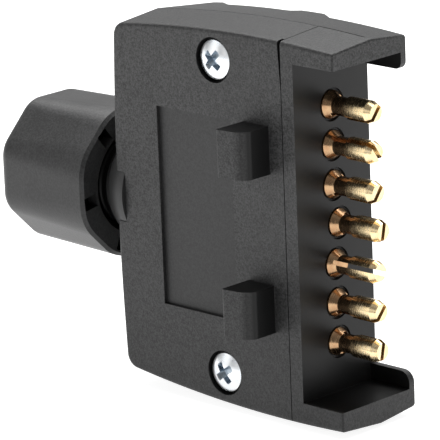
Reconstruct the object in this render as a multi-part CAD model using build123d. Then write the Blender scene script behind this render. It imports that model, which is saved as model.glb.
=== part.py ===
from build123d import *
import os

# A flat seven-pin trailer plug: a two-part housing held by two screws, seven split
# contact pins in a shrouded mating face, and a compression gland for the cable.
# All lengths are millimetres. The parts are built about the centre of the mating
# face: X runs forward along the pins, Z runs up along their row, and Y = 0 is the
# plane where the two housing halves meet, with the cover on its -Y side.

# ---- housing ----
near_y = -9.85              # flat outer face of the cover
shroud_back_y = 8.7         # outer face of the shroud behind the pins
back_y = (9.5, 10.3)        # the back of the base, from the finger rib to the rear rim
grip_y = 11.3               # crown of the finger rib across the back
rim_y = 13.8                # crown of the thick rim around the gland
shroud_front_x = 9.1        # front edge of the visor and the tray
split_x = -2.75             # joint between the cover and the front wall
front_height = (33.55, 34.1)    # heights above and below the middle, along the parting plane
crown_height = (34.2, 34.4)
rear_height = (32.0, 31.9)
crown_x = -14.0
rear_x = -43.2
rear_bow = 0.9              # how far the rear edge bows out at its middle
rear_corner = 2.6
near_draft = 0.080          # the sides lean in by this much per millimetre
back_draft = 0.106
rear_draft_share = 0.35
edge_round = 0.7
wall = 2.4
seam_gap = 0.16
corner_gap = 0.85
corner_gap_foot_z = 25.0

# ---- shroud ----
mouth_half_height = 29.8    # inner height of the visor and the tray
lip_reach = 3.0             # the back lips stand this far into the mouth
lip_thickness = 1.5
lip_rounds = (1.3, 2.1)     # corners of the upper and the lower lip
nose_round = 0.4
step_x = -8.0               # where the shroud steps out to the thicker back
grip_front_x, grip_rear_x = -11.6, -17.2
rim_front_x = -38.2
seam_end_x = 7.6            # the parting line fades out before the visor's front edge
front_wall_inner_x = -6.5
pin_block_half_height = 25.6
pin_block_near_y = -7.2

# ---- contact pins ----
pin_count = 7
pin_pitch = 7.0
row_y = -0.4                # axis of the six pins that stand in line
key_offset = 1.0            # the middle pin stands this far out of line
pin_radius = 2.0
pin_neck_radius = 1.65
pin_tip_radius = 1.5
pin_tip_x = 10.05
pin_chamfer_x = 8.9
pin_neck_end_x = 4.25
pin_cone_end_x = 1.3
pin_shank_radius = 2.5
pin_slot = 0.8
slot_end_x = 0.8
slot_angles = (-40, 35, -38, -12, 69, -42, -12)   # from upright, top pin first
barrel_front_x, barrel_rear_x = -8.0, -17.0
barrel_width, barrel_height = 5.8, 6.2
wire_hole_radius = 1.7
terminal_screw_x = -13.6
terminal_screw_radius = 1.5

# ---- cover screws, label panel and latch tabs ----
screw_x, screw_z = -18.65, 27.95
screw_radius = 1.75
screw_head_radius = 3.45
counterbore_radius = 4.0
screw_seat_y = -8.2
screw_side_height = 1.15
screw_head_height = 2.0
recess_radius = 2.3          # cross recess at the crown
recess_depth = 1.6
screw_tip_y = 7.5
label_x = (-32.8, -15.0)
label_half_height = 17.9
label_depth = 0.7
tab_z = (9.85, 18.25)
tab_outer_y = -16.8
tab_rear_x, tab_front_x = -11.9, -5.9

# ---- cable gland ----
collar_radius = 10.7
collar_front_x, collar_rear_x = -41.5, -47.3
spigot_radius = 8.3
spigot_end_x = -64.4
spigot_bore = 5.3
seal_pocket = 6.7
seal_front_x = -54.0
seal_bore = 4.5
tube_radius = 7.3
tube_end_x = -36.6
flange_radius = 9.1
flange_flat = 6.8
flange_x = (-40.5, -38.5)
nut_front_x, nut_rear_x = -48.6, -70.9
nut_front_half, nut_rear_half = 13.65, 12.85   # half the width across the flats
nut_front_corner, nut_rear_corner = 8.5, 5.0   # the front rim is nearly round
nut_rear_round, nut_chamfer = 2.3, 0.6
nut_bore = 8.38
nut_mouth_radius = 9.7
nut_shoulder_x = -65.7
cable_hole_radius = 5.8
notch_width, notch_depth = 2.3, 2.4
notch_radii = (10.1, 13.1)
notch_angles = [-9 + 60 * i for i in range(6)]
washer_thickness = 1.0


def slab(x0, x1, y0, y1, z0, z1):
    """A block between two corners."""
    return Pos((x0 + x1) / 2, (y0 + y1) / 2, (z0 + z1) / 2) * Box(x1 - x0, y1 - y0, z1 - z0)


def rod(radius, x0, x1, y=0.0, z=0.0):
    """A cylinder along X."""
    return Pos((x0 + x1) / 2, y, z) * Rot(0, 90, 0) * Cylinder(radius, abs(x1 - x0))


def post(radius, y0, y1, x, z):
    """A cylinder along Y."""
    return Pos(x, (y0 + y1) / 2, z) * Rot(90, 0, 0) * Cylinder(radius, abs(y1 - y0))


def turned(points):
    """A solid of revolution about the X axis, from (x, radius) points."""
    return revolve(make_face(Polyline(*points, close=True)), Axis.X)


def side_plane(y):
    return Plane(origin=(0, y, 0), x_dir=(1, 0, 0), z_dir=(0, -1, 0))


def outline(y, inset):
    """The housing's outline at height y, drawn in by inset on its sides."""
    back = rear_x + inset * rear_draft_share
    front, crown, rear = [(up - inset, inset - down) for up, down in (front_height, crown_height, rear_height)]
    with BuildSketch(side_plane(y)) as sketch:
        with BuildLine():
            top = ThreePointArc((shroud_front_x, front[0]), (crown_x, crown[0]), (back, rear[0]))
            bottom = ThreePointArc((shroud_front_x, front[1]), (crown_x, crown[1]), (back, rear[1]))
            ThreePointArc(top @ 1, (back - rear_bow, 0), bottom @ 1)
            Line(top @ 0, bottom @ 0)
        make_face()
        fillet(sketch.vertices().group_by(Axis.X)[0], rear_corner)
    return sketch.sketch


def drafted(y, draft):
    """The housing's outer form between the parting plane and height y."""
    return loft([outline(0, 0), outline(y, abs(y) * draft)], ruled=True)


def column(points, radius=0.0, corners=()):
    """A prism along Z, taller than the housing, from (x, y) points with some corners rounded."""
    face = make_face(Polyline(*points, close=True))
    for index, size in corners:
        spot = Vector(*points[index])
        corner = min(face.vertices(), key=lambda v: (Vector(v.X, v.Y) - spot).length)
        face = fillet(corner, size)
    return Pos(0, 0, -40) * extrude(face, 80, dir=(0, 0, 1))


def mirrored(shape):
    """A shape together with its mirror image below the middle of the housing."""
    return [shape, shape.mirror(Plane.XY)]


def gland_seat():
    """The space that the gland body takes in the rear wall, with a little clearance."""
    slack = 0.05
    flange = rod(flange_radius + slack, flange_x[0] - slack, flange_x[1] + slack)
    flats = slab(-45, -35, -flange_flat - slack, flange_flat + slack, -15, 15)
    return [
        rod(tube_radius + slack, -46, tube_end_x + 1),
        flange & flats,
        rod(collar_radius + 0.15, -46, collar_front_x + slack),
    ]


def cavity(y0, y1):
    """The wiring space of one half, with a thicker rear wall around the gland."""
    side = outline(0, 3.0)
    space = extrude(side, -y1, dir=(0, -1, 0)) if y1 < 0 else extrude(side, y1, dir=(0, 1, 0))
    space -= slab(-50, rear_x + wall + 0.4, -20, 20, -40, 40)
    space -= slab(-50, flange_x[1] + 2.2, -20, 20, -12.5, 12.5)
    space -= slab(y0, 20, -20, 20, -40, 40)
    return space


def latch_tab():
    """A catch for the socket's lid: a steep rear face, a ramped top and a rounded nose."""
    profile = [
        (tab_rear_x, near_y + 1),
        (tab_rear_x, tab_outer_y),
        (-7.6, tab_outer_y + 0.55),
        (tab_front_x, tab_outer_y + 1.9),
        (tab_front_x, near_y + 1),
    ]
    prism = column(profile, corners=((1, 0.5), (2, 2.2), (3, 1.3)))
    return prism & slab(-20, 0, -20, 0, tab_z[0], tab_z[1])


def cover():
    """The near half of the housing, with the label panel, the tabs and the counterbores."""
    body = drafted(near_y, near_draft)
    body &= slab(-60, split_x - seam_gap, near_y, -seam_gap / 2, -40, 40)
    rim = body.edges().filter_by_position(Axis.Y, near_y - 0.01, near_y + 0.01)
    body = fillet(rim.filter_by(lambda e: e.center().X < split_x - 1), edge_round)
    shell_form = body
    body -= cavity(split_x, near_y + wall)
    for z in (screw_z, -screw_z):
        body += shell_form & post(counterbore_radius + 1.2, near_y, -5.0, screw_x, z)
        body += shell_form & post(3.9, -6.0, -seam_gap / 2, screw_x, z)
    body += slab(-10.5, -9.5, near_y + wall - 0.5, -3.65, -24, 24)
    for z in (screw_z, -screw_z):
        body -= post(counterbore_radius, near_y - 1, screw_seat_y, screw_x, z)
        body -= post(screw_radius + 0.15, near_y, 1, screw_x, z)
    body -= slab(label_x[0], label_x[1], near_y - 1, near_y + label_depth, -label_half_height, label_half_height)
    body += mirrored(latch_tab())
    # the front edge stands off a little towards its upper corner
    gap_face = make_face(Polyline((split_x, 36), (split_x - corner_gap, 36), (split_x - seam_gap, corner_gap_foot_z),
                                  (split_x, corner_gap_foot_z), close=True))
    body -= extrude(side_plane(near_y + 1.5) * gap_face, 3)
    for cut in gland_seat():
        body -= cut
    return body


def base():
    """The far half of the housing in one moulding with the front wall and the shroud."""
    back_profile = [
        (shroud_front_x + 1, 0),
        (shroud_front_x + 1, shroud_back_y),
        (step_x, shroud_back_y),
        (grip_front_x, grip_y),
        (grip_rear_x, grip_y),
        (grip_rear_x - 1.3, back_y[0]),
        (rim_front_x + 4.4, back_y[1]),
        (rim_front_x, rim_y),
        (-60, rim_y),
        (-60, 0),
    ]
    rounds = ((2, 1.5), (3, 1.0), (4, 0.7), (5, 0.5), (6, 2.5), (7, 1.5))
    far_form = drafted(rim_y + 0.5, back_draft) & column(back_profile, corners=rounds)
    back_rim = [e for e in far_form.edges() if e.center().Y > shroud_back_y - 0.1 and abs(e.center().Z) > 20]
    far_form = fillet(back_rim, edge_round)
    near_form = drafted(near_y, near_draft)
    near_rim = near_form.edges().filter_by_position(Axis.Y, near_y - 0.01, near_y + 0.01)
    near_form = fillet(near_rim.filter_by(lambda e: abs(e.center().Z) > 20), edge_round)
    near_form &= slab(split_x, 20, near_y, 0, -40, 40)
    body = far_form + near_form
    # wiring space, shallower where the back steps in to the shroud
    shallow = slab(step_x - 1.6, 0, shroud_back_y - wall, 20, -40, 40)
    body -= cavity(split_x, back_y[0] - wall) - shallow
    # pin block, terminal bed with its rear stop, and the partitions between the terminals
    block_half = pin_block_half_height
    block = slab(front_wall_inner_x, split_x + 0.1, pin_block_near_y, shroud_back_y - 1, -block_half, block_half)
    bed_half = 3.5 * pin_pitch + 0.6
    bed = slab(barrel_rear_x - 0.1, front_wall_inner_x, 2.8, back_y[0] - 1, -bed_half, bed_half)
    stop = slab(barrel_rear_x - 1.2, barrel_rear_x - 0.1, 1.5, back_y[0] - 1, -bed_half, bed_half)
    body += [block, far_form & bed, far_form & stop]
    for i in range(pin_count + 1):
        z = (i - pin_count / 2) * pin_pitch
        body += slab(-15.0, front_wall_inner_x, -3.0, 3.0, z - 0.45, z + 0.45)
    for z in (screw_z, -screw_z):
        body += post(4.0, 0, back_y[0] - 1, screw_x, z)
        body -= post(screw_radius + 0.02, -1, screw_tip_y + 0.4, screw_x, z)
    # the mouth of the shroud, open in front and on both sides between its lips
    inner = slab(0, 20, near_y - 1, shroud_back_y - lip_thickness, -mouth_half_height, mouth_half_height)
    reach = mouth_half_height - lip_reach
    gap = slab(0, 20, near_y - 1, 20, -reach, reach)
    body -= [inner, gap]
    for z, size in zip((reach, -reach), lip_rounds):
        corner = [e for e in body.edges().filter_by(Axis.Y)
                  if e.center().X > shroud_front_x - 0.01 and abs(e.center().Z - z) < 0.01]
        body = fillet(corner, size)
    nose = [e for e in body.edges()
            if e.center().X > shroud_front_x - 0.01 and abs(e.center().Z) > mouth_half_height + 1.5]
    body = fillet(nose, nose_round)
    for low, high in ((front_height[0] - 0.35, 40), (-40, 0.35 - front_height[1])):
        body -= slab(split_x, seam_end_x, -0.12, 0.12, low, high)
    # holes for the pins, each with a shallow recess around the cone
    for x, y, z in pin_places():
        body -= rod(pin_shank_radius + 0.05, front_wall_inner_x - 1, 1, y, z)
        body -= rod(pin_shank_radius + 0.45, -0.6, 1, y, z)
        body -= slab(barrel_rear_x - 0.1, front_wall_inner_x, y, y + barrel_height / 2 + 0.1,
                     z - barrel_width / 2 - 0.1, z + barrel_width / 2 + 0.1)
    for cut in gland_seat():
        body -= cut
    return body


def pin_places():
    """Where each pin crosses the mating face, top pin first."""
    places = []
    for i in range(pin_count):
        middle = i == pin_count // 2
        places.append((0.0, row_y + (key_offset if middle else 0.0), (pin_count // 2 - i) * pin_pitch))
    return places


def contact_pin(y, z, slot_angle):
    """A split pin with a conical shoulder, a collar and a screw terminal for the wire."""
    pin = turned([
        (pin_tip_x, 0), (pin_tip_x, pin_tip_radius), (pin_chamfer_x, pin_radius),
        (pin_neck_end_x, pin_radius), (pin_neck_end_x, pin_neck_radius),
        (pin_cone_end_x, pin_neck_radius), (0, pin_shank_radius), (front_wall_inner_x, pin_shank_radius),
        (front_wall_inner_x, 2.85), (barrel_front_x, 2.85), (barrel_front_x, 0),
    ])
    barrel = slab(barrel_rear_x, barrel_front_x, -barrel_height / 2, barrel_height / 2,
                  -barrel_width / 2, barrel_width / 2)
    pin += fillet(barrel.edges().filter_by(Axis.X), 1.0)
    pin -= Rot(slot_angle, 0, 0) * slab(slot_end_x, 20, -pin_slot / 2, pin_slot / 2, -5, 5)
    pin -= rod(wire_hole_radius, barrel_rear_x - 1, barrel_front_x - 1.2)
    pin -= post(terminal_screw_radius + 0.02, -10, 0, terminal_screw_x, 0)
    return Pos(0, y, z) * pin


def terminal_screw(y, z):
    """A slotted grub screw that clamps the wire in its terminal."""
    top = -barrel_height / 2 - 0.2
    screw = post(terminal_screw_radius, top, -0.6, terminal_screw_x, 0)
    screw = chamfer(screw.edges().group_by(Axis.Y)[-1], 0.3)
    screw -= slab(-20, 0, top - 1, top + 0.8, -0.25, 0.25)
    return Pos(0, y, z) * screw


def cover_screw(z, turn):
    """A pan-head screw with a cross recess, which holds the cover to the base."""
    crown_y = screw_seat_y - screw_head_height
    side_y = screw_seat_y - screw_side_height
    with BuildPart() as screw:
        with BuildSketch(Plane.XY):
            with BuildLine():
                Polyline((0, screw_seat_y), (screw_head_radius, screw_seat_y), (screw_head_radius, side_y))
                ThreePointArc((screw_head_radius, side_y), (2.4, crown_y + 0.4), (0, crown_y))
                Line((0, crown_y), (0, screw_seat_y))
            make_face()
        revolve(axis=Axis.Y)
    body = screw.part + post(screw_radius, screw_seat_y - 0.1, screw_tip_y, 0, 0)
    body = chamfer(body.edges().group_by(Axis.Y)[-1], 0.7)
    arm = slab(-3, 3, crown_y - 1, crown_y + 3, -0.62, 0.62)
    taper = Pos(0, crown_y + recess_depth / 2 - 0.25, 0) * Rot(90, 0, 0)
    taper *= Cone(1.1, recess_radius + 0.3, recess_depth + 0.5)
    cross = taper & (arm + Rot(0, 90, 0) * arm)
    body = Rot(0, 41, 0) * body - cross
    return Pos(screw_x, 0, z) * Rot(0, turn, 0) * body


def gland_body():
    """The collar behind the housing, with the flange that it is held by and the threaded spigot."""
    with BuildPart() as form:
        with BuildSketch(Plane.XY):
            with BuildLine():
                start = (collar_rear_x, collar_radius - 2.15)
                ThreePointArc(start, (collar_rear_x + 2, collar_radius - 0.65), (collar_front_x, collar_radius))
                Polyline((collar_front_x, collar_radius), (collar_front_x, spigot_bore), (spigot_end_x, spigot_bore),
                         (spigot_end_x, spigot_radius), (collar_rear_x, spigot_radius), start)
            make_face()
        revolve(axis=Axis.X)
    body = form.part + rod(tube_radius, collar_front_x - 0.5, tube_end_x)
    body += rod(flange_radius, *flange_x) & slab(-45, -35, -flange_flat, flange_flat, -15, 15)
    body -= rod(spigot_bore, -80, -30)
    body -= rod(seal_pocket, spigot_end_x - 1, seal_front_x + 0.05)
    return body


def cable_seal():
    """The rubber sleeve that the nut squeezes onto the cable."""
    rear = spigot_end_x - 0.2
    return turned([
        (seal_front_x, seal_bore), (seal_front_x, seal_pocket - 0.05), (rear, seal_pocket - 0.05), (rear, seal_bore),
    ])


def slip_washer():
    """The thin ring between the nut and the seal, which stays still while the nut turns."""
    front = spigot_end_x - 0.22
    rear = front - washer_thickness
    return turned([(front, 4.8), (front, spigot_radius - 0.1), (rear, spigot_radius - 0.1), (rear, 4.8)])


def octagon(x, half_width, corner):
    """The nut's eight-sided section at x, with softened corners."""
    section = RegularPolygon(half_width, 8, major_radius=False, rotation=22.5)
    section = fillet(section.vertices(), corner)
    return Plane.YZ.offset(x) * section


def gland_nut():
    """The eight-sided compression nut, tapering to the rear, with pockets around its front rim."""
    rear = octagon(nut_rear_x, nut_rear_half, nut_rear_corner)
    nut = loft([rear, octagon(nut_front_x, nut_front_half, nut_front_corner)], ruled=True)
    nut = fillet(nut.edges().group_by(Axis.X)[0], nut_rear_round)
    nut = chamfer(nut.edges().group_by(Axis.X)[-1], nut_chamfer)
    nut -= rod(nut_bore, nut_shoulder_x, -40)
    nut -= rod(nut_mouth_radius, nut_front_x - 3.0, -40)
    nut -= rod(cable_hole_radius, nut_rear_x - 1, nut_shoulder_x + 1)
    nut -= turned([(nut_rear_x - 0.01, 0), (nut_rear_x - 0.01, cable_hole_radius + 2), (nut_rear_x + 2, 0)])
    notch = slab(nut_front_x - notch_depth, nut_front_x + 1, -notch_radii[1], -notch_radii[0],
                 -notch_width / 2, notch_width / 2)
    for angle in notch_angles:
        nut -= Rot(-angle, 0, 0) * notch
    return nut


def build():
    """Every piece of the plug, by the name of its node."""
    nodes = {"cover": cover(), "base": base()}
    for i, (x, y, z) in enumerate(pin_places()):
        nodes[f"contact_pin_{i + 1}"] = contact_pin(y, z, slot_angles[i])
        nodes[f"terminal_screw_{i + 1}"] = terminal_screw(y, z)
    nodes["cover_screw_upper"] = cover_screw(screw_z, 41)
    nodes["cover_screw_lower"] = cover_screw(-screw_z, 54)
    nodes["gland_body"] = gland_body()
    nodes["cable_seal"] = cable_seal()
    nodes["slip_washer"] = slip_washer()
    nodes["gland_nut"] = gland_nut()
    return nodes


nodes = build()
# the plug's own frame: the middle of its foot
boxes = [solid.bounding_box() for solid in nodes.values()]
x_low, y_low, z_low = (min(getattr(box.min, axis) for box in boxes) for axis in "XYZ")
x_high, y_high = (max(getattr(box.max, axis) for box in boxes) for axis in "XY")
foot = Pos(-(x_low + x_high) / 2, -(y_low + y_high) / 2, -z_low)
os.makedirs("parts", exist_ok=True)
for name, solid in nodes.items():
    placed = foot * solid
    export_step(placed, f"parts/{name}.step")
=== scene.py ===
import math

import bpy
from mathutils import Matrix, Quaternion, Vector


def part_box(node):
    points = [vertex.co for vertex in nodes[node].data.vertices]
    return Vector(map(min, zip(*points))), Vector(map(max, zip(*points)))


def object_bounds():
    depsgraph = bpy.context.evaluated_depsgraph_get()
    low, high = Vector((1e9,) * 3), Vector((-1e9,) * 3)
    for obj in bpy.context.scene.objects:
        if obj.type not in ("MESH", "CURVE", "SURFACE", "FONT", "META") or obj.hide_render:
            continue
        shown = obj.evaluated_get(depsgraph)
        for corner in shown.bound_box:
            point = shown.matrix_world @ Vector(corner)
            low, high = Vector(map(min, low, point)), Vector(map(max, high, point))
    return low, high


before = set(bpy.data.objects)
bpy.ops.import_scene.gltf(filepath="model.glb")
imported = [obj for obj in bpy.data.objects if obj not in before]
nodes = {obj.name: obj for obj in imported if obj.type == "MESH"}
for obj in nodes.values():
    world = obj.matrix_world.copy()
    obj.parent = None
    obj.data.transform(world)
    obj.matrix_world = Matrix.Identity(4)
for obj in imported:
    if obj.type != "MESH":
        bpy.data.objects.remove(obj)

cad_low, cad_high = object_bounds()
MM = 0.001

# landmarks of the part in millimetres, from the centre of its mating face on the parting plane
KEY_PIN_TIP = (10.05, 0.6, 0.0)     # front end of the middle pin
COVER_FACE_Y = -9.85
SHROUD_INNER_Y = 7.2
MOUTH_HALF_HEIGHT = 29.8
SPLIT_X = -2.75                     # joint between the cover and the front wall
SEAM_END_X = 7.6
LABEL_X = (-32.8, -15.0)
LABEL_HALF_HEIGHT = 17.9
COVER_SCREWS = ("cover_screw_upper", "cover_screw_lower")
COUNTERBORE_RADIUS = 4.0
SCREW_DOME_RADIUS = 7.43
RECESS_RADIUS = 2.55
COLLAR_REAR_X = -47.3
THREAD_PITCH = 2.0
NUT_FRONT_X = -48.6
NUT_MOUTH_RADIUS = 9.7
POCKET_DEPTH = 2.4

# where that centre is in the row frame
pin_low, pin_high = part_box("contact_pin_4")
pin_tip = Vector((pin_high.x, (pin_low.y + pin_high.y) / 2, (pin_low.z + pin_high.z) / 2))
PART = pin_tip - Vector(KEY_PIN_TIP) * MM


def at_x(mm):
    return PART.x + mm * MM


def at_y(mm):
    return PART.y + mm * MM


def at_z(mm):
    return PART.z + mm * MM


# ---------------------------------------------------------------- materials
class Graph:
    """A short way to write a material's node tree."""

    def __init__(self, name):
        self.material = bpy.data.materials.new(name)
        self.material.use_nodes = True
        self.tree = self.material.node_tree
        self.shader = self.tree.nodes["Principled BSDF"]
        self.coords = self.add("ShaderNodeTexCoord").outputs["Object"]
        self.place = self.add("ShaderNodeSeparateXYZ", {0: self.coords}).outputs
        normal = self.add("ShaderNodeNewGeometry").outputs["Normal"]
        self.facing = self.add("ShaderNodeSeparateXYZ", {0: normal}).outputs

    def add(self, kind, inputs=None, **settings):
        node = self.tree.nodes.new(kind)
        for key, value in settings.items():
            setattr(node, key, value)
        for key, value in (inputs or {}).items():
            self.feed(node.inputs[key], value)
        return node

    def feed(self, socket, value):
        if isinstance(value, bpy.types.NodeSocket):
            self.tree.links.new(value, socket)
        else:
            socket.default_value = value

    def set(self, **inputs):
        for key, value in inputs.items():
            self.feed(self.shader.inputs[key.replace("_", " ")], value)

    def noise(self, scale, detail=3.0, roughness=0.55, vector=None):
        return self.add("ShaderNodeTexNoise", {
            "Vector": vector or self.coords, "Scale": scale, "Detail": detail, "Roughness": roughness,
        }).outputs["Fac"]

    def map(self, value, low, high, from_low=0.0, from_high=1.0):
        return self.add("ShaderNodeMapRange", {
            "Value": value, "From Min": from_low, "From Max": from_high, "To Min": low, "To Max": high,
        }).outputs["Result"]

    def math(self, operation, first, second=0.0):
        return self.add("ShaderNodeMath", {0: first, 1: second}, operation=operation).outputs[0]

    def combine(self, operation, values):
        total = values[0]
        for value in values[1:]:
            total = self.math(operation, total, value)
        return total

    def product(self, *factors):
        return self.combine("MULTIPLY", factors)

    def largest(self, *values):
        return self.combine("MAXIMUM", values)

    def above(self, value, edge, blur=0.02 * MM):
        """1 where value is over edge, 0 below, with a short ramp."""
        return self.map(value, 0.0, 1.0, edge - blur, edge + blur)

    def below(self, value, edge, blur=0.02 * MM):
        return self.map(value, 1.0, 0.0, edge - blur, edge + blur)

    def within(self, value, centre, half, blur=0.02 * MM):
        away = self.math("ABSOLUTE", self.math("SUBTRACT", value, centre))
        return self.below(away, half, blur)

    def from_axis(self, point, across):
        """The offset from an axis through a point, and its length. across keeps the two other axes."""
        offset = self.add("ShaderNodeVectorMath", {0: self.coords, 1: point}, operation="SUBTRACT").outputs[0]
        kept = self.add("ShaderNodeVectorMath", {0: offset, 1: across}, operation="MULTIPLY").outputs[0]
        return kept, self.add("ShaderNodeVectorMath", {0: kept}, operation="LENGTH").outputs["Value"]

    def from_screw(self, name):
        """The distance from a cover screw's axis."""
        low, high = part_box(name)
        middle = (low + high) / 2
        return self.from_axis((middle.x, 0, middle.z), (1, 0, 1))[1]

    def mix(self, factor, first, second):
        node = self.add("ShaderNodeMix", data_type="RGBA")
        self.feed(node.inputs[0], factor)
        self.feed(node.inputs[6], first)
        self.feed(node.inputs[7], second)
        return node.outputs[2]

    def shade(self, colour, factor):
        """A colour made darker or lighter by a grey factor."""
        node = self.add("ShaderNodeVectorMath", {0: colour}, operation="SCALE")
        self.feed(node.inputs["Scale"], factor)
        return node.outputs[0]

    def bump(self, height, distance, strength=1.0, normal=None):
        inputs = {"Height": height, "Distance": distance, "Strength": strength}
        if normal is not None:
            inputs["Normal"] = normal
        return self.add("ShaderNodeBump", inputs).outputs["Normal"]


def grey(value):
    return (value, value * 1.003, value * 1.012, 1.0)


def housing_plastic():
    """Spark-eroded outside; the tabs' sides and the inside of the shroud are smooth and darker, the inside of
    the shroud also darkened as painted shade.
    """
    g = Graph("housing_plastic")
    x, y, z = g.place[0], g.place[1], g.place[2]
    face_x, face_y, face_z = g.facing[0], g.facing[1], g.facing[2]
    height = g.math("ABSOLUTE", g.math("SUBTRACT", z, PART.z))
    # where the surface is smooth
    proud = g.below(y, at_y(COVER_FACE_Y - 0.1))
    tab_side = g.product(proud, g.map(face_y, 0.0, 1.0, -0.88, -0.55))
    in_height = g.below(height, (MOUTH_HALF_HEIGHT + 0.06) * MM)
    in_depth = g.product(g.above(x, at_x(0.06)), g.below(y, at_y(SHROUD_INNER_Y + 0.06)))
    mouth = g.product(in_height, in_depth, g.above(y, at_y(COVER_FACE_Y + 0.55)), g.below(face_x, 0.75, 0.05))
    at_wall = g.product(g.within(x, at_x(-0.2), 0.25 * MM), g.above(face_x, 0.5, 0.1))
    pin_face = g.product(at_wall, g.below(height, (MOUTH_HALF_HEIGHT + 0.1) * MM))
    smooth = g.largest(tab_side, mouth, pin_face)
    # floor of the label panel
    label_middle, label_half = (LABEL_X[0] + LABEL_X[1]) / 2, (LABEL_X[1] - LABEL_X[0]) / 2
    in_panel = g.product(g.within(x, at_x(label_middle), (label_half + 0.05) * MM),
                         g.below(height, (LABEL_HALF_HEIGHT + 0.05) * MM))
    label = g.product(in_panel, g.within(y, at_y(COVER_FACE_Y + 0.55), 0.2 * MM))
    # grain and tone
    grain = g.noise(3300.0, detail=2.0, roughness=0.65)
    speck = g.noise(1500.0, detail=1.0)
    cloud = g.noise(55.0, detail=4.0)
    tone = g.math("ADD", g.map(grain, -0.15, 1.15, 0.28, 0.72), g.map(speck, -0.15, 0.15, 0.3, 0.7))
    tone = g.math("ADD", tone, g.map(cloud, -0.1, 0.1, 0.3, 0.7))
    rough_colour = g.mix(tone, grey(0.009), grey(0.057))
    colour = g.mix(label, rough_colour, g.mix(tone, grey(0.019), grey(0.036)))
    # painted shade along the joint line between the halves, and in darker creases along the near rim
    rim_painted_shade = g.product(g.within(face_y, -0.66, 0.24, 0.1), g.below(y, at_y(COVER_FACE_Y + 0.85)))
    seam_painted_shade = g.product(g.within(y, at_y(-0.02), 0.17 * MM, 0.06 * MM), g.above(height, 31.0 * MM),
                     g.map(cloud, 0.75, 1.0, 0.4, 0.5), g.below(x, at_x(SEAM_END_X + 0.1), 0.2 * MM))
    # shaded walls of the gap in front of the cover and of the screws' counterbores
    gap = g.product(g.within(x, at_x(SPLIT_X - 0.5), 0.49 * MM, 0.01 * MM), g.above(face_x, 0.6, 0.1),
                    g.below(y, at_y(COVER_FACE_Y + 1.55)))
    wells = [g.below(g.from_screw(name), (COUNTERBORE_RADIUS + 0.06) * MM) for name in COVER_SCREWS]
    well = g.product(g.largest(*wells), g.within(y, at_y(COVER_FACE_Y + 0.95), 0.9 * MM))
    colour = g.shade(colour, g.map(g.largest(gap, well), 1.0, 0.12))
    colour = g.shade(colour, g.map(rim_painted_shade, 1.0, 0.6))
    colour = g.shade(colour, g.map(seam_painted_shade, 1.0, 0.1))
    # painted light: the wall around the pins is made a little lighter than the other smooth faces, and more
    # so to the back
    blotch = g.map(cloud, 0.0, 1.0, 0.3, 0.7)
    pin_wall_painted_light = g.mix(blotch, grey(0.013), grey(0.018))
    pin_wall_painted_light = g.shade(pin_wall_painted_light, g.map(y, 0.75, 1.35, at_y(-9.0), at_y(7.0)))
    # the smooth faces are darker: a smooth finish on the tabs' sides, and on the inside of the shroud a
    # smooth finish plus painted shade
    smooth_and_shaded_colour = g.mix(pin_face, g.mix(blotch, grey(0.007), grey(0.011)), pin_wall_painted_light)
    # painted shade: the lower end of the moulding and its top faces are made a little darker
    painted_shade_tint = g.product(g.map(z, 0.56, 0.99, at_z(-34.0), at_z(20.0)), g.map(face_z, 1.0, 0.64, 0.5, 0.95))
    g.set(Base_Color=g.shade(g.mix(smooth, colour, smooth_and_shaded_colour), painted_shade_tint))
    g.set(Roughness=g.map(smooth, 0.5, 0.36), Specular_IOR_Level=g.map(smooth, 0.4, 0.22))
    polish = g.largest(smooth, g.math("MULTIPLY", label, 0.75))
    relief = g.product(g.math("ADD", grain, g.math("MULTIPLY", speck, 0.6)), g.map(polish, 1.0, 0.12))
    g.set(Normal=g.bump(relief, 0.075 * MM))
    return g.material


def nut_plastic():
    """Satin outside; painted shade makes the inside of the mouth and the pockets near black."""
    g = Graph("nut_plastic")
    x = g.place[0]
    grain = g.noise(2600.0, detail=2.0, roughness=0.6)
    cloud = g.noise(90.0, detail=4.0)
    tone = g.math("ADD", g.map(grain, -0.4, 0.6, 0.3, 0.7), g.map(cloud, 0.0, 0.6, 0.3, 0.7))
    colour = g.mix(tone, grey(0.013), grey(0.034))
    across, radius = g.from_axis((0, PART.y, PART.z), (0, 1, 1))
    forward = g.above(g.facing[0], 0.86, 0.05)
    mouth = g.product(g.below(radius, (NUT_MOUTH_RADIUS + 0.25) * MM), g.below(forward, 0.5, 0.1))
    # the pockets' side walls have normals that run around the nut
    offset = g.add("ShaderNodeSeparateXYZ", {0: across}).outputs
    around = g.math("SUBTRACT", g.product(g.facing[1], offset[2]), g.product(g.facing[2], offset[1]))
    sideways = g.above(g.math("ABSOLUTE", g.math("DIVIDE", around, radius)), 0.8, 0.05)
    pocket_side = g.product(sideways, g.above(x, at_x(NUT_FRONT_X - POCKET_DEPTH - 0.1)))
    pocket_floor = g.product(forward, g.below(x, at_x(NUT_FRONT_X - 0.6)))
    # painted shade in the mouth and on the pockets' walls and floors
    painted_shade_hollows = g.largest(mouth, pocket_side, pocket_floor)
    colour = g.shade(colour, g.map(painted_shade_hollows, 1.0, 0.12))
    # painted light and shade: faces turned up are lighter, faces turned down darker
    colour = g.shade(colour, g.map(g.facing[2], 0.25, 1.6, -0.8, 0.95))
    g.set(Base_Color=colour, Roughness=g.map(grain, 0.36, 0.46), Specular_IOR_Level=g.map(painted_shade_hollows, 0.4, 0.08))
    g.set(Normal=g.bump(grain, 0.03 * MM))
    return g.material


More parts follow.
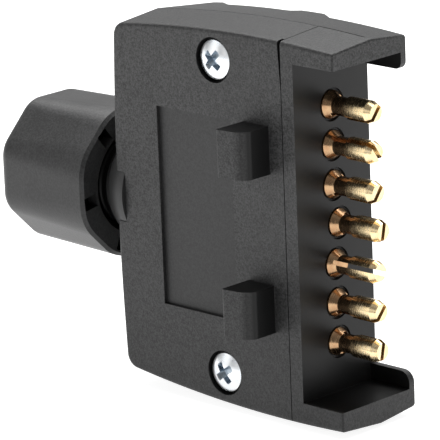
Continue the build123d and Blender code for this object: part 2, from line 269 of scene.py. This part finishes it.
def gland_plastic():
    """The satin collar; behind it, the thread of the spigot is darkened near black as painted shade."""
    g = Graph("gland_plastic")
    grain = g.noise(1800.0, detail=2.0)
    cloud = g.noise(120.0, detail=4.0)
    tone = g.math("ADD", g.map(grain, -0.2, 0.4, 0.3, 0.7), g.map(cloud, 0.0, 0.6, 0.3, 0.7))
    colour = g.mix(tone, grey(0.018), grey(0.032))
    collar = g.above(g.place[0], at_x(COLLAR_REAR_X + 0.1), 0.15 * MM)
    turns = g.math("SINE", g.math("MULTIPLY", g.place[0], 2 * math.pi / (THREAD_PITCH * MM)))
    thread = g.math("MULTIPLY", turns, g.map(collar, 1.0, 0.0))
    # painted shade: the spigot's thread behind the collar is darkened to a fifth
    g.set(Base_Color=g.mix(collar, g.shade(colour, 0.2), colour), Roughness=g.map(grain, 0.36, 0.44))
    g.set(Specular_IOR_Level=g.map(collar, 0.15, 0.4))
    g.set(Normal=g.bump(grain, 0.02 * MM, normal=g.bump(thread, 0.3 * MM)))
    return g.material


def brass():
    """Turned brass: fine rings around the pins, copper-brown tarnish towards the root, and painted shade
    darkening the neck.
    """
    g = Graph("brass")
    stretched = g.add("ShaderNodeMapping", {"Vector": g.coords, "Scale": (1.0, 0.12, 0.12)}).outputs[0]
    rings = g.noise(7000.0, detail=2.0, roughness=0.7, vector=stretched)
    fine = g.noise(900.0, detail=3.0)
    x = g.place[0]
    root = g.map(x, 1.0, 0.0, at_x(0.8), at_x(5.5))
    tarnish = g.product(root, g.map(fine, 0.55, 1.0, 0.3, 0.6))
    # painted shade: the neck is darkened to brown, and the front section less so, fading out towards the tip
    neck = g.within(x, at_x(3.0), 1.3 * MM, 0.25 * MM)
    painted_dark_shade = g.largest(g.math("MULTIPLY", neck, 0.75), g.map(x, 0.5, 0.0, at_x(4.3), at_x(7.2)))
    gold = g.mix(g.map(rings, 0.0, 1.0, 0.35, 0.65), (0.88, 0.66, 0.36, 1), (0.95, 0.77, 0.48, 1))
    colour = g.mix(tarnish, gold, (0.62, 0.36, 0.19, 1))
    g.set(Base_Color=g.mix(painted_dark_shade, colour, (0.27, 0.16, 0.09, 1)), Metallic=1.0)
    g.set(Roughness=g.map(rings, 0.14, 0.30, 0.3, 0.7))
    g.set(Normal=g.bump(rings, 0.012 * MM))
    return g.material


def zinc():
    """Bright zinc plate; the cross recess is blue-grey and darkened with painted shade."""
    g = Graph("zinc")
    speck = g.noise(5000.0, detail=2.0)
    cloud = g.noise(420.0, detail=3.0)
    colour = g.mix(g.map(cloud, 0.0, 1.0, 0.35, 0.65), (0.78, 0.82, 0.86, 1), (0.93, 0.94, 0.94, 1))
    recesses = []
    for name in COVER_SCREWS:
        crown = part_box(name)[0].y
        radius = g.from_screw(name)
        # the dome falls away from its crown by the radius squared over twice its own radius
        dome = g.math("MULTIPLY", g.math("MULTIPLY", radius, radius), 1 / (2 * SCREW_DOME_RADIUS * MM))
        depth = g.math("SUBTRACT", g.math("SUBTRACT", g.place[1], crown), dome)
        recesses.append(g.product(g.above(depth, 0.16 * MM, 0.08 * MM), g.below(radius, RECESS_RADIUS * MM)))
    # the recess colour: its own blue-grey tint, darkened with painted shade
    painted_dark_shade = g.mix(g.map(speck, 0.0, 1.0, 0.3, 0.7), (0.30, 0.36, 0.42, 1), (0.55, 0.61, 0.67, 1))
    g.set(Base_Color=g.mix(g.largest(*recesses), colour, painted_dark_shade), Metallic=1.0)
    g.set(Roughness=g.map(cloud, 0.24, 0.36, 0.3, 0.7))
    g.set(Normal=g.bump(speck, 0.006 * MM))
    return g.material


def rubber():
    """Matt black rubber with a little dust."""
    g = Graph("rubber")
    dust = g.noise(1400.0, detail=3.0)
    g.set(Base_Color=g.mix(g.map(dust, 0.0, 1.0, 0.3, 0.7), grey(0.010), grey(0.022)))
    g.set(Roughness=g.map(dust, 0.62, 0.78))
    g.set(Normal=g.bump(dust, 0.02 * MM))
    return g.material


def nylon():
    """Natural white nylon, slightly translucent."""
    g = Graph("nylon")
    haze = g.noise(700.0, detail=3.0)
    g.set(Base_Color=g.mix(haze, (0.60, 0.59, 0.54, 1), (0.72, 0.71, 0.67, 1)))
    g.set(Roughness=g.map(haze, 0.32, 0.42), Subsurface_Weight=0.1)
    return g.material


def paint(node, material):
    """Gives a CAD node its material."""
    mesh = nodes[node].data
    mesh.materials.clear()
    mesh.materials.append(material)


housing = housing_plastic()
brass_metal, zinc_metal = brass(), zinc()
paint("cover", housing)
paint("base", housing)
paint("gland_nut", nut_plastic())
paint("gland_body", gland_plastic())
paint("cable_seal", rubber())
paint("slip_washer", nylon())
for name in nodes:
    if name.startswith("contact_pin"):
        paint(name, brass_metal)
    if name.startswith(("cover_screw", "terminal_screw")):
        paint(name, zinc_metal)


# ---------------------------------------------------------------- stage, light and camera
def floor(height, radius=4.0):
    """A plain pale round floor that glows a little, so that shadows on it stay faint."""
    bpy.ops.mesh.primitive_circle_add(vertices=96, radius=radius, fill_type="NGON", location=(0, 0, height))
    disc = bpy.context.object
    disc.name = "floor"
    g = Graph("pale_floor")
    g.set(Base_Color=(0.5, 0.5, 0.5, 1), Roughness=0.9)
    g.set(Emission_Color=(1, 1, 1, 1), Emission_Strength=0.88)
    disc.data.materials.append(g.material)


def softbox(name, place, aim, width, height, power):
    """A rectangular lamp that points at its aim."""
    data = bpy.data.lights.new(name, "AREA")
    data.shape, data.size, data.size_y, data.energy = "RECTANGLE", width, height, power
    lamp = bpy.data.objects.new(name, data)
    bpy.context.scene.collection.objects.link(lamp)
    lamp.location = place
    lamp.rotation_mode = "QUATERNION"
    lamp.rotation_quaternion = (Vector(aim) - Vector(place)).to_track_quat("-Z", "Y")


def sky(low, high, towards):
    """A white surround, brighter towards one side."""
    world = bpy.data.worlds.new("studio")
    bpy.context.scene.world = world
    world.use_nodes = True
    tree = world.node_tree
    background = tree.nodes["Background"]
    coords = tree.nodes.new("ShaderNodeTexCoord")
    dot = tree.nodes.new("ShaderNodeVectorMath")
    dot.operation = "DOT_PRODUCT"
    dot.inputs[1].default_value = Vector(towards).normalized()
    ramp = tree.nodes.new("ShaderNodeMapRange")
    ramp.inputs["From Min"].default_value = -0.6
    ramp.inputs["From Max"].default_value = 0.8
    ramp.inputs["To Min"].default_value = low
    ramp.inputs["To Max"].default_value = high
    tree.links.new(coords.outputs["Generated"], dot.inputs[0])
    tree.links.new(dot.outputs["Value"], ramp.inputs["Value"])
    tree.links.new(ramp.outputs["Result"], background.inputs["Strength"])
    background.inputs["Color"].default_value = (1, 1, 1, 1)


def camera(aim, azimuth, elevation, roll, distance, lens):
    """A camera on a sphere round the aim point; azimuth 0 looks along +Y."""
    a, e = math.radians(azimuth), math.radians(elevation)
    back = Vector((math.sin(a) * math.cos(e), -math.cos(a) * math.cos(e), math.sin(e)))
    data = bpy.data.cameras.new("camera")
    data.lens, data.sensor_width = lens, 36.0
    data.clip_start, data.clip_end = 0.01, 20.0
    eye = bpy.data.objects.new("camera", data)
    bpy.context.scene.collection.objects.link(eye)
    eye.location = Vector(aim) + back * distance
    eye.rotation_mode = "QUATERNION"
    level = (-back).to_track_quat("-Z", "Y")
    eye.rotation_quaternion = level @ Quaternion((0, 0, 1), math.radians(roll))
    bpy.context.scene.camera = eye


aim = PART + Vector((-16.07, -12.17, 0.63)) * MM
camera(aim, azimuth=44.743, elevation=15.628, roll=-2.216, distance=0.735, lens=351.2)
floor(cad_low.z - 0.0002)
sky(0.13, 0.52, towards=(-0.45, 0.65, 0.55))
softbox("top_softbox", (-0.25, 0.25, 0.9), (0, 0, 0), 0.9, 0.9, 14)
softbox("left_softbox", (-0.55, -0.75, 0.35), (0, 0, 0.03), 0.5, 0.6, 1)
softbox("front_softbox", (0.1, -0.95, 0.36), (0, 0, 0.03), 0.5, 0.45, 0.5)
bpy.context.scene.view_settings.view_transform = "Standard"
